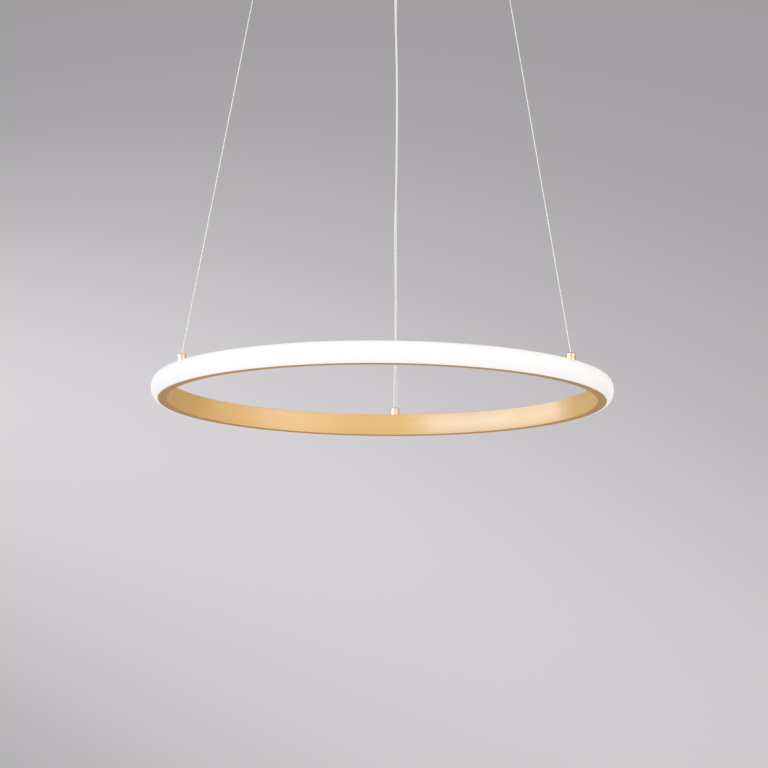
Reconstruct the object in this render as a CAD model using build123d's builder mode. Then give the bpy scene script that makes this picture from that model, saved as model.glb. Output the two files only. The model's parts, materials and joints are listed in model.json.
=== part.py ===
"""LED ring pendant light that hangs from the ceiling on three wires.

Millimetres, +Z up. The origin is the middle of the face that meets the ceiling. +X is to the right and
-Y is towards someone who looks at the light. The ring hangs level, with its light facing outwards.
"""
import os
from math import cos, degrees, pi, radians, sin, tan

from build123d import *

os.makedirs("parts", exist_ok=True)

# Ring channel, a rolled U profile that opens outwards
ring_inner_r = 279.2
channel_width = 11.8
channel_height = 28.0
web_wall = 1.2
flange_wall = 1.4
seam_angle = 31.0
seam_gap = 0.25

# Opal diffuser that closes the channel
diffuser_bulge = 9.0
diffuser_wall = 1.4
diffuser_leg = 1.4
diffuser_leg_wall = 1.0

# LED strip on the channel's web
strip_height = 10.0
strip_thickness = 0.35
strip_gap = 8.0
chip_count = 120
chip_length = 3.5
chip_height = 2.8
chip_depth = 0.8
connector_depth = 6.4
connector_height = 6.0

# Splice in the channel's butt joint
splice_length = 40.0
splice_width = 4.5
splice_thickness = 2.0
splice_screw_d = 2.5
splice_screw_pitch = 24.0

# Wires and cable
wire_d = 1.2
cable_d = 2.8
wire_drop = 643.0
rear_angle = 86.5
left_angle = rear_angle + 120.0
right_angle = rear_angle + 240.0
rear_gripper_turn = -1.65

# Fitting caps on the ring
cap_d = 11.6
cap_height = 9.5
cap_chamfer = 0.8
cap_floor = 1.5
tail_d = 7.0
tail_bore = 5.5
tail_spare = 1.0
wire_bore = 2.0
wire_bore_depth = 7.0
wire_mouth = 5.0
wire_mouth_depth = 3.0
bend_depth = 1.5
rear_wire_side = 2.0
rear_cable_side = 1.2
rear_wire_mouth = 3.2
clamp_d = 2.5
clamp_below_top = 5.0
nut_height = 3.0
washer_thickness = 0.8
cable_rise = 7.0
cable_end_depth = 9.0

# Canopy on the ceiling
canopy_d = 360.0
canopy_height = 30.0
canopy_wall = 1.2
canopy_edge_r = 6.0
bracket_width = 28.0
bracket_wall = 2.0
bracket_ear = 16.0
mount_hole_d = 5.2
mount_hole_pitch = 180.0
mains_hole_d = 18.0
mains_hole_x = 22.0
side_screw_d = 4.0
side_screw_length = 9.0
side_screw_head_d = 8.0
side_screw_head = 4.5

# Wire grippers under the canopy
gripper_inset = 20.0
gripper_d = 10.0
gripper_length = 20.0
gripper_bore = 7.2
gripper_lip = 1.6
gripper_chamfer = 0.8
gripper_plug = 4.0
stud_d = 6.0
stud_spare = 1.5
gripper_nut_flats = 10.0
gripper_nut_height = 4.0
nipple_d = 5.0
nipple_reach = 5.0
nipple_bore = 3.2
nipple_mouth = 4.4
nipple_mouth_depth = 2.0
collar_d = 6.8
collar_height = 6.0
collar_rest = 0.1
ball_d = 1.6
ball_below_collar_top = 2.3
spring_d = 6.4
spring_bore = 4.8
wire_above_bend = 15.0
wire_spare = 18.0
wire_spare_lean = 0.4

# Cable gland beside the rear gripper
gland_inset = 18.0
gland_d = 10.0
gland_length = 11.0
gland_thread_d = 7.0
gland_nut_flats = 10.0
gland_nut_height = 3.0
boot_top_d = 7.0
boot_tip_d = 5.2
boot_bore = 3.8
boot_length = 13.0
cable_above_mouth = 12.0

# LED driver and terminals inside the canopy
driver_length = 124.0
driver_width = 40.0
driver_height = 20.0
driver_wall = 1.6
driver_y = -50.0
driver_ear = 9.0
driver_ear_wall = 2.5
driver_screw_d = 3.0
driver_screw_head_d = 5.5
driver_screw_head = 2.0
boss_d = 7.0
boss_height = 3.0
board_thickness = 1.6
board_lift = 3.0
terminal_length = 26.0
terminal_width = 18.0
terminal_height = 13.0
terminal_x = -62.0
terminal_pitch = 8.0
terminal_screw_d = 4.0
terminal_screw_height = 1.2
lead_d = 2.0
tail_end_x = 46.0
earth_x = 70.0
earth_screw_d = 4.0
earth_screw_head_d = 7.0
earth_screw_head = 2.4
earth_washer_d = 9.0
earth_washer_thickness = 1.0

# Clearances
seat_gap = 0.1
fit_gap = 0.1
run_gap = 0.15

# Heights that follow
canopy_floor_z = -canopy_height
gripper_end_z = canopy_floor_z - gripper_length
mouth_z = gripper_end_z - nipple_reach
top_bend_z = mouth_z + bend_depth
low_bend_z = top_bend_z - wire_drop
cap_top_z = low_bend_z + bend_depth
channel_top_z = cap_top_z - cap_height
channel_low_z = channel_top_z - channel_height
channel_mid_z = channel_low_z + channel_height / 2

# Radii that follow
channel_outer_r = ring_inner_r + channel_width
fitting_r = ring_inner_r + channel_width / 2
strip_inner_r = ring_inner_r + web_wall + seat_gap
strip_outer_r = strip_inner_r + strip_thickness
canopy_inner_r = canopy_d / 2 - canopy_wall
gripper_circle_r = canopy_d / 2 - gripper_inset
gland_r = gripper_circle_r - gland_inset

wire_angles = {"rear": rear_angle, "left": left_angle, "right": right_angle}
gripper_angles = {**wire_angles, "rear": rear_angle + rear_gripper_turn}
LOW = (Align.CENTER, Align.CENTER, Align.MIN)
HIGH = (Align.CENTER, Align.CENTER, Align.MAX)


def station(angle, radius, z):
    """Level plane at an angle round the ring: x points outwards, y runs round the ring."""
    a = radians(angle)
    return Plane(origin=(radius * cos(a), radius * sin(a), z), x_dir=(cos(a), sin(a), 0), z_dir=(0, 0, 1))


def section(angle):
    """Upright plane through the ring's axis: x is the radius and y the height."""
    a = radians(angle)
    return Plane(origin=(0, 0, 0), x_dir=(cos(a), sin(a), 0), z_dir=(sin(a), -cos(a), 0))


def arc_angle(length, radius):
    """Degrees that a length takes up on a circle."""
    return degrees(length / radius)


def keep(piece, name):
    """Name a finished piece and write it."""
    piece.part.label = name
    export_step(piece.part, f"parts/{name}.step")


def cord(points, diameter, name):
    """Tube along straight runs joined by arcs, each as large as its two runs allow."""
    points = [Vector(*p) for p in points]
    radii = []
    for before, here, after in zip(points, points[1:], points[2:]):
        turn = radians((here - before).get_angle(after - here))
        shorter = min((here - before).length, (after - here).length)
        radii.append(0.45 * shorter / tan(turn / 2))
    with BuildPart() as tube:
        with BuildLine() as route:
            FilletPolyline(*points, radius=radii)
        with BuildSketch(Plane(origin=points[0], z_dir=points[1] - points[0])):
            Circle(diameter / 2)
        sweep()
    length = sum(edge.length for edge in route.edges())
    ratio = tube.part.volume / (pi * diameter**2 / 4 * length)
    print(name, "length", round(length, 1), "volume ratio", round(ratio, 4))
    print("  radii", [round(r) for r in radii])
    return tube


# Ring channel: three walls, open outwards, with one butt joint and a hole under each cap
seam_turn = arc_angle(seam_gap, ring_inner_r)
with BuildPart() as ring_channel:
    with BuildSketch(section(seam_angle + seam_turn / 2)):
        with Locations((ring_inner_r, channel_low_z)):
            Rectangle(channel_width, channel_height, align=(Align.MIN, Align.MIN))
        with Locations((ring_inner_r + web_wall, channel_mid_z)):
            Rectangle(
                channel_width,
                channel_height - 2 * flange_wall,
                align=(Align.MIN, Align.CENTER),
                mode=Mode.SUBTRACT,
            )
    revolve(axis=Axis.Z, revolution_arc=360 - seam_turn)
    with Locations(*[station(angle, fitting_r, channel_top_z) for angle in wire_angles.values()]):
        Hole(tail_d / 2 + fit_gap, depth=flange_wall)
keep(ring_channel, "ring_channel")

# Diffuser: half an ellipse outside the channel, with two legs that reach in behind the flanges
shell_r = channel_outer_r + seat_gap
leg_z = channel_height / 2 - flange_wall - seat_gap - diffuser_leg_wall / 2
leg_reach = diffuser_leg + seat_gap + 2 * diffuser_wall
with BuildPart() as diffuser:
    with BuildSketch(section(0)):
        with Locations((shell_r, channel_mid_z)):
            Ellipse(diffuser_bulge - seat_gap, channel_height / 2)
            Ellipse(
                diffuser_bulge - seat_gap - diffuser_wall,
                channel_height / 2 - diffuser_wall,
                mode=Mode.SUBTRACT,
            )
            Rectangle(
                diffuser_bulge,
                channel_height,
                align=(Align.MAX, Align.CENTER),
                mode=Mode.SUBTRACT,
            )
        for side in (-1, 1):
            with Locations((channel_outer_r - diffuser_leg, channel_mid_z + side * leg_z)):
                Rectangle(leg_reach, diffuser_leg_wall, align=(Align.MIN, Align.CENTER))
    revolve(axis=Axis.Z)
keep(diffuser, "diffuser")

# LED strip on the web, with a gap where its two ends meet the feed connector
strip_turn = arc_angle(strip_gap, strip_inner_r)
with BuildPart() as led_strip:
    with BuildSketch(section(rear_angle + strip_turn / 2)):
        with Locations((strip_inner_r, channel_mid_z)):
            Rectangle(strip_thickness, strip_height, align=(Align.MIN, Align.CENTER))
    revolve(axis=Axis.Z, revolution_arc=360 - strip_turn)
keep(led_strip, "led_strip")

chip_r = strip_outer_r + seat_gap + chip_depth / 2
with BuildPart(Plane.XY.offset(channel_mid_z)) as led_chips:
    with PolarLocations(chip_r, chip_count, start_angle=rear_angle + 180 / chip_count):
        Box(chip_depth, chip_length, chip_height)
keep(led_chips, "led_chips")

# Feed connector: the cable's end stands on it, and it sits on the web between the strip's ends
connector_top_z = channel_top_z - cable_end_depth
connector_r = ring_inner_r + web_wall + seat_gap + connector_depth / 2
with BuildPart(station(rear_angle, connector_r, connector_top_z)) as feed_connector:
    Box(connector_depth, strip_gap - 4 * seat_gap, connector_height, align=HIGH)
keep(feed_connector, "feed_connector")

# Splice plates across the butt joint, one on each flange, and their grub screws
splice_inner_r = chip_r + chip_depth / 2 + 4 * seat_gap
splice_r = splice_inner_r + splice_width / 2
splice_turn = arc_angle(splice_length, splice_r)
screw_turn = arc_angle(splice_screw_pitch, splice_r) / 2
splice_low_z = (channel_low_z + flange_wall, channel_top_z - flange_wall - splice_thickness)
splice_stations = [
    station(seam_angle + side * screw_turn, splice_r, z) for z in splice_low_z for side in (-1, 1)
]
with BuildPart() as splice_plates:
    for low_z in splice_low_z:
        with BuildSketch(section(seam_angle - splice_turn / 2)):
            with Locations((splice_inner_r, low_z)):
                Rectangle(splice_width, splice_thickness, align=(Align.MIN, Align.MIN))
        revolve(axis=Axis.Z, revolution_arc=splice_turn)
    with Locations(*splice_stations):
        Cylinder(splice_screw_d / 2 + fit_gap, splice_thickness, align=LOW, mode=Mode.SUBTRACT)
keep(splice_plates, "splice_plates")

with BuildPart() as splice_screws:
    with Locations(*splice_stations):
        Cylinder(splice_screw_d / 2, splice_thickness, align=LOW)
        Cylinder(splice_screw_d / 4, splice_thickness / 2, align=LOW, mode=Mode.SUBTRACT)
keep(splice_screws, "splice_screws")

# Fitting caps: a barrel on the flange with a hollow threaded tail through it
tail_length = flange_wall + washer_thickness + nut_height + tail_spare
clamp_z = cap_height - clamp_below_top


def fitting_cap(angle, wire_y, mouth, cable_y=None):
    """Barrel with a wire bore, a clamp screw's hole from outside and, in the rear one, a cable bore."""
    with BuildPart(station(angle, fitting_r, channel_top_z)) as cap:
        Cylinder(cap_d / 2, cap_height, align=LOW)
        chamfer(cap.edges().group_by(Axis.Z)[-1], cap_chamfer)
        Cylinder(tail_d / 2, tail_length, align=HIGH)
        with Locations((0, 0, cap_floor)):
            Cylinder(tail_bore / 2, tail_length + cap_floor, align=HIGH, mode=Mode.SUBTRACT)
        with Locations((0, wire_y, cap_height)):
            Cylinder(wire_bore / 2, wire_bore_depth, align=HIGH, mode=Mode.SUBTRACT)
            Cone(wire_bore / 2, mouth / 2, wire_mouth_depth, align=HIGH, mode=Mode.SUBTRACT)
        with Locations(Location((0, wire_y, clamp_z), (0, 90, 0))):
            Cylinder(clamp_d / 2 + fit_gap, cap_d / 2, align=LOW, mode=Mode.SUBTRACT)
        if cable_y is not None:
            with Locations((0, cable_y, cap_height)):
                Cylinder(cable_d / 2 + 2 * fit_gap, cap_height, align=HIGH, mode=Mode.SUBTRACT)
    return cap


keep(fitting_cap(left_angle, 0, wire_mouth), "fitting_cap_left")
keep(fitting_cap(right_angle, 0, wire_mouth), "fitting_cap_right")
keep(fitting_cap(rear_angle, -rear_wire_side, rear_wire_mouth, rear_cable_side), "fitting_cap_rear")

# Washers and nuts inside the channel, as wide as the room between its web and the diffuser's legs
nut_flats = channel_width - 2 * max(web_wall, diffuser_leg) - 2 * seat_gap
washer_top_z = channel_top_z - flange_wall
with BuildPart() as fitting_washers:
    with Locations(*[station(angle, fitting_r, washer_top_z) for angle in wire_angles.values()]):
        Cylinder(nut_flats / 2, washer_thickness, align=HIGH)
        Cylinder(tail_d / 2 + fit_gap, washer_thickness, align=HIGH, mode=Mode.SUBTRACT)
keep(fitting_washers, "fitting_washers")

nut_top_z = washer_top_z - washer_thickness
with BuildPart() as fitting_nuts:
    for angle in wire_angles.values():
        with BuildSketch(station(angle, fitting_r, nut_top_z)):
            RegularPolygon(nut_flats / 2, 6, major_radius=False, rotation=30)
            Circle(tail_d / 2 + fit_gap, mode=Mode.SUBTRACT)
        extrude(amount=-nut_height)
keep(fitting_nuts, "fitting_nuts")

clamp_inner = wire_d / 2 + seat_gap
with BuildPart() as clamp_screws:
    for name, angle in wire_angles.items():
        side = -rear_wire_side if name == "rear" else 0
        clamp_outer = (cap_d**2 / 4 - side**2) ** 0.5 - seat_gap
        barrel = Location(station(angle, fitting_r, channel_top_z))
        place = barrel * Location((clamp_inner, side, clamp_z), (0, 90, 0))
        with Locations(place):
            Cylinder(clamp_d / 2, clamp_outer - clamp_inner - clamp_d / 4, align=LOW)
        socket = place * Location((0, 0, clamp_outer - clamp_inner - clamp_d / 4))
        with Locations(socket):
            Cylinder(clamp_d / 4, clamp_d / 2, align=HIGH, mode=Mode.SUBTRACT)
keep(clamp_screws, "clamp_screws")

# Wires: straight from the cap's mouth to the gripper's mouth, then up through it into the canopy
for name, angle in wire_angles.items():
    side = -rear_wire_side if name == "rear" else 0
    low = station(angle, fitting_r, 0)
    high = station(gripper_angles[name], gripper_circle_r, 0)
    wire_points = [
        low.from_local_coords((0, side, cap_top_z - wire_bore_depth + seat_gap)),
        low.from_local_coords((0, side, low_bend_z)),
        high.from_local_coords((0, 0, top_bend_z)),
        high.from_local_coords((0, 0, top_bend_z + wire_above_bend)),
        high.from_local_coords((-wire_spare_lean, 0, top_bend_z + wire_above_bend + wire_spare)),
    ]
    keep(cord(wire_points, wire_d, f"wire_{name}"), f"wire_{name}")

# Power cable: it hangs beside the rear wire in slow waves, from the rear cap up to the gland.
# Each point is its height over the cap as a share of the wire's drop, and in millimetres its place
# towards the left of the wire and inwards of it.
cable_waves = [
    (0.048, 2.9, 0.9),
    (0.096, 1.8, 2.4),
    (0.157, 0.9, 3.5),
    (0.221, 0.5, 4.4),
    (0.295, 1.3, 5.4),
    (0.367, 1.8, 6.4),
    (0.442, 0.2, 7.6),
    (0.518, -0.8, 9.0),
    (0.593, -1.2, 10.6),
    (0.659, -1.5, 12.2),
    (0.728, -0.9, 14.2),
    (0.796, 0.2, 16.4),
    (0.865, 0.9, 18.9),
    (0.930, 0.6, 21.0),
    (0.968, 0.2, 20.4),
]
wire_lean = (fitting_r - gripper_circle_r) / wire_drop
rear_drift = gripper_circle_r * sin(radians(rear_gripper_turn))
gland_mouth_z = canopy_floor_z - gland_length - boot_length
rear_low = station(rear_angle, fitting_r, 0)
gland = station(gripper_angles["rear"], gland_r, 0)
cable_points = [
    rear_low.from_local_coords((0, rear_cable_side, connector_top_z)),
    rear_low.from_local_coords((0, rear_cable_side, cap_top_z + cable_rise)),
]
for share, left, inward in cable_waves:
    height = share * wire_drop
    wire_side = rear_drift * share - rear_wire_side * (1 - share)
    cable_points.append(
        rear_low.from_local_coords((-height * wire_lean - inward, left + wire_side, cap_top_z + height))
    )
cable_points.append(gland.from_local_coords((0, 0, gland_mouth_z + bend_depth)))
cable_points.append(gland.from_local_coords((0, 0, gland_mouth_z + cable_above_mouth)))
keep(cord(cable_points, cable_d, "power_cable"), "power_cable")

# Canopy cup, with holes for the studs, the gland and the side screws, and bosses under the driver's ears
driver_screw_x = driver_length / 2 + driver_ear / 2
floor_top_z = canopy_floor_z + canopy_wall
side_screw_z = -(bracket_wall + bracket_ear / 2)
edge_start_r = canopy_d / 2 - canopy_edge_r
edge_end_z = canopy_floor_z + canopy_edge_r
with BuildPart(Plane.XY.offset(canopy_floor_z)) as canopy_cup:
    with BuildSketch(section(0)):
        with BuildLine():
            Polyline(
                (edge_start_r, floor_top_z),
                (0, floor_top_z),
                (0, canopy_floor_z),
                (edge_start_r, canopy_floor_z),
            )
            RadiusArc((edge_start_r, canopy_floor_z), (canopy_d / 2, edge_end_z), -canopy_edge_r)
            Polyline(
                (canopy_d / 2, edge_end_z),
                (canopy_d / 2, 0),
                (canopy_inner_r, 0),
                (canopy_inner_r, edge_end_z),
            )
            RadiusArc((canopy_inner_r, edge_end_z), (edge_start_r, floor_top_z), canopy_edge_r - canopy_wall)
        make_face()
    revolve(axis=Axis.Z)
    with Locations((-driver_screw_x, driver_y, canopy_wall), (driver_screw_x, driver_y, canopy_wall)):
        Cylinder(boss_d / 2, boss_height, align=LOW)
        Cylinder(driver_screw_d / 2 + fit_gap, boss_height, align=LOW, mode=Mode.SUBTRACT)
    for angle in gripper_angles.values():
        with PolarLocations(gripper_circle_r, 1, start_angle=angle):
            Cylinder(stud_d / 2 + fit_gap, canopy_wall, align=LOW, mode=Mode.SUBTRACT)
    with PolarLocations(gland_r, 1, start_angle=gripper_angles["rear"]):
        Cylinder(gland_thread_d / 2 + fit_gap, canopy_wall, align=LOW, mode=Mode.SUBTRACT)
    with Locations(Location((0, 0, side_screw_z - canopy_floor_z), (0, 90, 0))):
        Cylinder(side_screw_d / 2 + 2 * fit_gap, canopy_d, mode=Mode.SUBTRACT)
keep(canopy_cup, "canopy_cup")

# Ceiling bracket: a flat bar with two ears that the side screws go into
ear_outer_x = (canopy_inner_r**2 - bracket_width**2 / 4) ** 0.5 - 3 * seat_gap
with BuildPart() as ceiling_bracket:
    Box(2 * ear_outer_x, bracket_width, bracket_wall, align=HIGH)
    with Locations((ear_outer_x - bracket_wall / 2, 0, 0), (bracket_wall / 2 - ear_outer_x, 0, 0)):
        Box(bracket_wall, bracket_width, bracket_wall + bracket_ear, align=HIGH)
    with GridLocations(mount_hole_pitch, 0, 2, 1):
        Hole(mount_hole_d / 2, depth=bracket_wall)
    with Locations((mains_hole_x, 0, 0)):
        Hole(mains_hole_d / 2, depth=bracket_wall)
    with Locations((earth_x, 0, 0)):
        Hole(earth_screw_d / 2 + fit_gap, depth=bracket_wall)
    with Locations(Location((0, 0, side_screw_z), (0, 90, 0))):
        Cylinder(side_screw_d / 2 + fit_gap, canopy_d, mode=Mode.SUBTRACT)
keep(ceiling_bracket, "ceiling_bracket")

# Side screws: knob heads outside, shanks through the cup into the ears
with BuildPart() as side_screws:
    for turn in (0, 180):
        wall = Location((0, 0, side_screw_z), (0, 0, turn))
        place = wall * Location((canopy_d / 2 + seat_gap, 0, 0), (0, 90, 0))
        with Locations(place):
            Cylinder(side_screw_head_d / 2, side_screw_head, align=LOW)
            Cylinder(side_screw_d / 2, side_screw_length, align=HIGH)
    chamfer(side_screws.edges().filter_by(GeomType.CIRCLE).group_by(Axis.X)[0], canopy_wall / 2)
    chamfer(side_screws.edges().filter_by(GeomType.CIRCLE).group_by(Axis.X)[-1], canopy_wall / 2)
keep(side_screws, "side_screws")

# Wire grippers: body, stud, sprung plunger with three locking balls, and its spring
collar_low = -gripper_length + gripper_lip + collar_rest
collar_top = collar_low + collar_height
ball_r = wire_d / 2 + seat_gap + ball_d / 2
stud_length = canopy_wall + gripper_nut_height + stud_spare
spring_length = -gripper_plug - collar_top - 2 * seat_gap
for name, angle in gripper_angles.items():
    under_canopy = station(angle, gripper_circle_r, canopy_floor_z)

    with BuildPart(under_canopy) as gripper_body:
        Cylinder(gripper_d / 2, gripper_length, align=HIGH)
        chamfer(gripper_body.edges().group_by(Axis.Z)[0], gripper_chamfer)
        Cylinder(gripper_bore / 2, gripper_length - gripper_lip, align=HIGH, mode=Mode.SUBTRACT)
        Cylinder(nipple_d / 2 + run_gap, gripper_length, align=HIGH, mode=Mode.SUBTRACT)
    keep(gripper_body, f"gripper_body_{name}")

    with BuildPart(under_canopy) as gripper_stud:
        Cylinder(gripper_bore / 2 - fit_gap, gripper_plug, align=HIGH)
        Cylinder(stud_d / 2, stud_length, align=LOW)
        with Locations((0, 0, stud_length)):
            Hole(nipple_bore / 2, depth=stud_length + gripper_plug)
    keep(gripper_stud, f"gripper_stud_{name}")

    with BuildPart(under_canopy) as plunger:
        with Locations((0, 0, -gripper_length - nipple_reach)):
            Cylinder(nipple_d / 2, collar_low + gripper_length + nipple_reach, align=LOW)
        with Locations((0, 0, collar_low)):
            Cylinder(collar_d / 2, collar_height, align=LOW)
        with Locations((0, 0, collar_top)):
            Hole(nipple_bore / 2, depth=collar_top + gripper_length + nipple_reach)
        with Locations((0, 0, -gripper_length - nipple_reach)):
            Cone(nipple_mouth / 2, nipple_bore / 2, nipple_mouth_depth, align=LOW, mode=Mode.SUBTRACT)
        with Locations((0, 0, collar_top - ball_below_collar_top)):
            with PolarLocations(0, 3):
                Cylinder(
                    ball_d / 2 + fit_gap,
                    collar_d,
                    rotation=(0, 90, 0),
                    align=LOW,
                    mode=Mode.SUBTRACT,
                )
    keep(plunger, f"gripper_plunger_{name}")

    with BuildPart(under_canopy) as balls:
        with Locations((0, 0, collar_top - ball_below_collar_top)):
            with PolarLocations(ball_r, 3):
                Sphere(ball_d / 2)
    keep(balls, f"gripper_balls_{name}")

    with BuildPart(under_canopy) as spring:
        with Locations((0, 0, -gripper_plug - seat_gap)):
            Cylinder(spring_d / 2, spring_length, align=HIGH)
            Hole(spring_bore / 2, depth=spring_length)
    keep(spring, f"gripper_spring_{name}")

with BuildPart() as gripper_nuts:
    for angle in gripper_angles.values():
        with BuildSketch(station(angle, gripper_circle_r, floor_top_z)):
            RegularPolygon(gripper_nut_flats / 2, 6, major_radius=False)
            Circle(stud_d / 2 + fit_gap, mode=Mode.SUBTRACT)
        extrude(amount=gripper_nut_height)
keep(gripper_nuts, "gripper_nuts")

# Cable gland, its nut and its soft boot
thread_length = canopy_wall + gland_nut_height + stud_spare
gland_under = station(gripper_angles["rear"], gland_r, canopy_floor_z)
with BuildPart(gland_under) as cable_gland:
    Cylinder(gland_d / 2, gland_length, align=HIGH)
    chamfer(cable_gland.edges().group_by(Axis.Z)[0], gripper_chamfer)
    Cylinder(gland_thread_d / 2, thread_length, align=LOW)
    with Locations((0, 0, thread_length)):
        Hole(cable_d / 2 + fit_gap, depth=thread_length + gland_length)
keep(cable_gland, "cable_gland")

with BuildPart() as gland_nut:
    with BuildSketch(station(gripper_angles["rear"], gland_r, floor_top_z)):
        RegularPolygon(gland_nut_flats / 2, 6, major_radius=False, rotation=30)
        Circle(gland_thread_d / 2 + fit_gap, mode=Mode.SUBTRACT)
    extrude(amount=gland_nut_height)
keep(gland_nut, "gland_nut")

with BuildPart(gland_under) as cable_boot:
    with Locations((0, 0, -gland_length)):
        Cone(boot_tip_d / 2, boot_top_d / 2, boot_length, align=HIGH)
        Hole(boot_bore / 2, depth=boot_length)
keep(cable_boot, "cable_boot")

# LED driver: case on the bosses, lid, board with its parts
driver_low_z = floor_top_z + boss_height
with BuildPart(Plane((0, driver_y, driver_low_z))) as driver_case:
    Box(driver_length, driver_width, driver_height - driver_wall, align=LOW)
    with Locations((0, 0, driver_wall)):
        Box(
            driver_length - 2 * driver_wall,
            driver_width - 2 * driver_wall,
            driver_height,
            align=LOW,
            mode=Mode.SUBTRACT,
        )
    with Locations((-driver_screw_x, 0, 0), (driver_screw_x, 0, 0)):
        Box(driver_ear, 2 * driver_ear, driver_ear_wall, align=LOW)
        Cylinder(driver_screw_d / 2 + fit_gap, driver_ear_wall, align=LOW, mode=Mode.SUBTRACT)
keep(driver_case, "driver_case")

with BuildPart(Plane((0, driver_y, driver_low_z + driver_height - driver_wall))) as driver_cover:
    Box(driver_length, driver_width, driver_wall, align=LOW)
    chamfer(driver_cover.edges().group_by(Axis.Z)[-1], driver_wall / 3)
keep(driver_cover, "driver_cover")

board_length = driver_length - 2 * driver_wall - 4 * fit_gap
board_width = driver_width - 2 * driver_wall - 4 * fit_gap
part_height = driver_height - 2 * driver_wall - board_lift - board_thickness - 4 * fit_gap
with BuildPart(Plane((0, driver_y, driver_low_z + driver_wall))) as driver_board:
    with GridLocations(0.8 * board_length, 0.7 * board_width, 2, 2):
        Cylinder(board_lift, board_lift, align=LOW)
    with Locations((0, 0, board_lift)):
        Box(board_length, board_width, board_thickness, align=LOW)
    with Locations((0, 0, board_lift + board_thickness)):
        Box(0.2 * board_length, 0.7 * board_width, part_height, align=LOW)
    with Locations((-0.32 * board_length, 0, board_lift + board_thickness)):
        Cylinder(part_height / 2, part_height, align=LOW)
    with Locations((0.32 * board_length, 0, board_lift + board_thickness)):
        Cylinder(part_height / 2, 0.8 * part_height, align=LOW)
keep(driver_board, "driver_board")

driver_ear_top_z = driver_low_z + driver_ear_wall
with BuildPart() as driver_screws:
    with Locations(
        (-driver_screw_x, driver_y, driver_ear_top_z),
        (driver_screw_x, driver_y, driver_ear_top_z),
    ):
        Cylinder(driver_screw_head_d / 2, driver_screw_head, align=LOW)
        Cylinder(driver_screw_d / 2, driver_ear_wall + boss_height, align=HIGH)
        with Locations((0, 0, driver_screw_head)):
            Box(
                driver_screw_head_d,
                driver_screw_head / 3,
                driver_screw_head / 2,
                align=HIGH,
                mode=Mode.SUBTRACT,
            )
keep(driver_screws, "driver_screws")

# Terminal block under the bracket, with a screw over each pole
terminal_low_z = -bracket_wall - terminal_height
terminal_places = [
    (terminal_x + k * terminal_pitch, side * terminal_width / 4, terminal_low_z)
    for k in (-1, 0, 1)
    for side in (-1, 1)
]
with BuildPart(Plane((terminal_x, 0, terminal_low_z))) as terminal_block:
    Box(terminal_length, terminal_width, terminal_height, align=LOW)
    with Locations((0, 0, 0)):
        with GridLocations(terminal_pitch, terminal_width / 2, 3, 2):
            Cylinder(
                terminal_screw_d / 2 + fit_gap,
                2 * terminal_screw_height,
                align=LOW,
                mode=Mode.SUBTRACT,
            )
keep(terminal_block, "terminal_block")

with BuildPart() as terminal_screws:
    with Locations(*[(x, y, z + 2 * terminal_screw_height) for x, y, z in terminal_places]):
        Cylinder(terminal_screw_d / 2, terminal_screw_height, align=HIGH)
        with Locations((0, 0, -terminal_screw_height)):
            Box(
                terminal_screw_d,
                terminal_screw_height / 2,
                terminal_screw_height / 2,
                align=LOW,
                mode=Mode.SUBTRACT,
            )
keep(terminal_screws, "terminal_screws")

# Earth screw with its washer, under the bracket
with BuildPart(Plane((earth_x, 0, -bracket_wall))) as earth_screw:
    Cylinder(earth_washer_d / 2, earth_washer_thickness, align=HIGH)
    with Locations((0, 0, -earth_washer_thickness)):
        Cylinder(earth_screw_head_d / 2, earth_screw_head, align=HIGH)
    Cylinder(earth_screw_d / 2, bracket_wall, align=LOW)
keep(earth_screw, "earth_screw")

# Leads inside the canopy: mains from the block to the driver, and the cable's tail from the gland to it
driver_rear_y = driver_y + driver_width / 2 + seat_gap
terminal_front_y = -terminal_width / 2 - seat_gap
lead_run = 3 * lead_d
lead_high_z = terminal_low_z + terminal_height / 2
lead_low_z = driver_low_z + driver_height / 2
with BuildPart() as mains_leads:
    for k in (0, 1):
        x = terminal_x + k * terminal_pitch
        lead = cord(
            [
                (x, terminal_front_y, lead_high_z),
                (x, terminal_front_y - lead_run, lead_high_z),
                (x + terminal_pitch, driver_rear_y + lead_run, lead_low_z),
                (x + terminal_pitch, driver_rear_y, lead_low_z),
            ],
            lead_d,
            "mains_lead",
        )
        add(lead.part)
keep(mains_leads, "mains_leads")

# The tail's points: share of its way to the driver, then millimetres to the right of it and upwards
tail_waves = [
    (0.17, -2.0, 2.0),
    (0.35, 5.0, 1.0),
    (0.52, 12.0, 2.0),
    (0.68, 13.0, 3.0),
    (0.82, 6.0, 2.0),
]
tail_low_z = gland_mouth_z + cable_above_mouth + seat_gap
tail_turn_z = canopy_floor_z + thread_length + 5 * cable_d
tail_end = Vector(tail_end_x, driver_rear_y, lead_low_z)
tail_start = gland.from_local_coords((0, 0, tail_turn_z))
tail_points = [gland.from_local_coords((0, 0, tail_low_z)), tail_start]
for share, right, up in tail_waves:
    along = tail_start + (tail_end - tail_start) * share
    tail_points.append((along.X + right, along.Y, lead_low_z + up))
tail_points.append(tail_end + Vector(0, lead_run, 0))
tail_points.append(tail_end)
keep(cord(tail_points, cable_d, "cable_tail"), "cable_tail")
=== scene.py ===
# %% [markdown]
# # A ring of light on three wires
#
# The object is an LED pendant light. A rolled gold channel carries an opal diffuser on its outer side,
# three small barrels stand on it, and three steel wires and a power cable go up to a flat canopy on
# the ceiling. The CAD model already holds every piece at its real size, so this lesson loads it as a
# fixed frame. It then makes finer surfaces for the pieces that the eye rests on, gives every piece its
# finish, and lights them.

# %% Tools and the CAD frame
import json

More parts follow.
